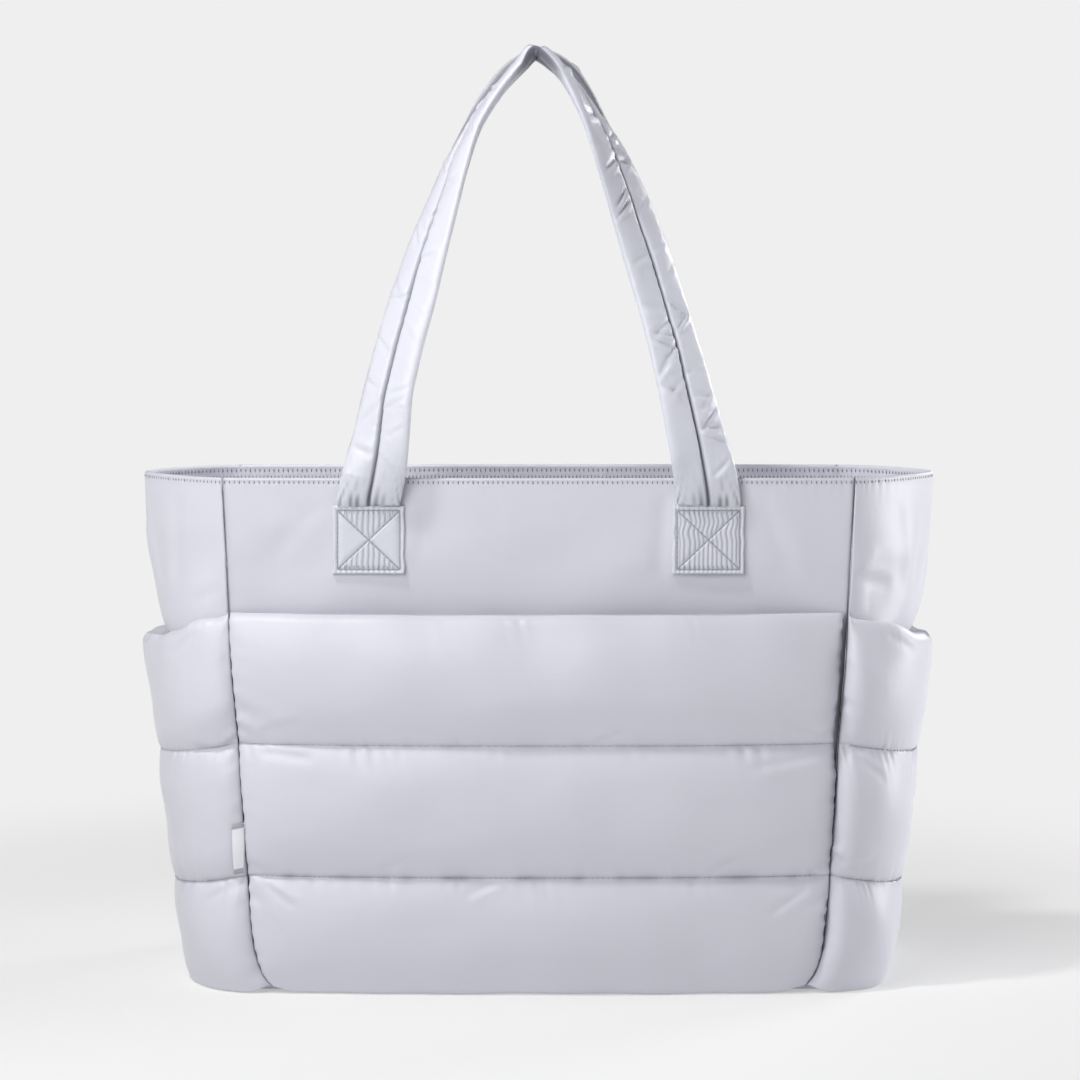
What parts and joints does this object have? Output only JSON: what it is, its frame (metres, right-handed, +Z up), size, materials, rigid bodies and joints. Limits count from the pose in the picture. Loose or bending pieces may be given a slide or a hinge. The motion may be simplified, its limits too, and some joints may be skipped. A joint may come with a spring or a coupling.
{
  "type": "tote bag",
  "caption": "Open puffer tote bag with a quilted front pocket, quilted side pockets and two padded shoulder handles, standing by itself.",
  "frame": {"origin": "on the surface that the bag stands on, under the middle of its base panel", "axes": "+Z up, -Y towards the front pocket, +X to the right as seen from the front"},
  "size_m": [0.4742, 0.1987, 0.5536],
  "materials": {
    "shell": "satin nylon taffeta over soft padding, pale lilac grey",
    "strap": "the same taffeta, a little glossier and creased",
    "facing": "plain woven facing, matt",
    "label": "blank woven satin tape"
  },
  "bodies": {
    "root": {"base_panel": "shell", "front_panel": "shell", "back_panel": "shell", "left_gusset": "shell", "right_gusset": "shell", "front_pocket": "shell", "left_side_pocket": "shell", "right_side_pocket": "shell", "front_handle": "strap", "back_handle": "strap", "rim_facing": "facing", "seam_label": "label"}
  },
  "joints": []
}
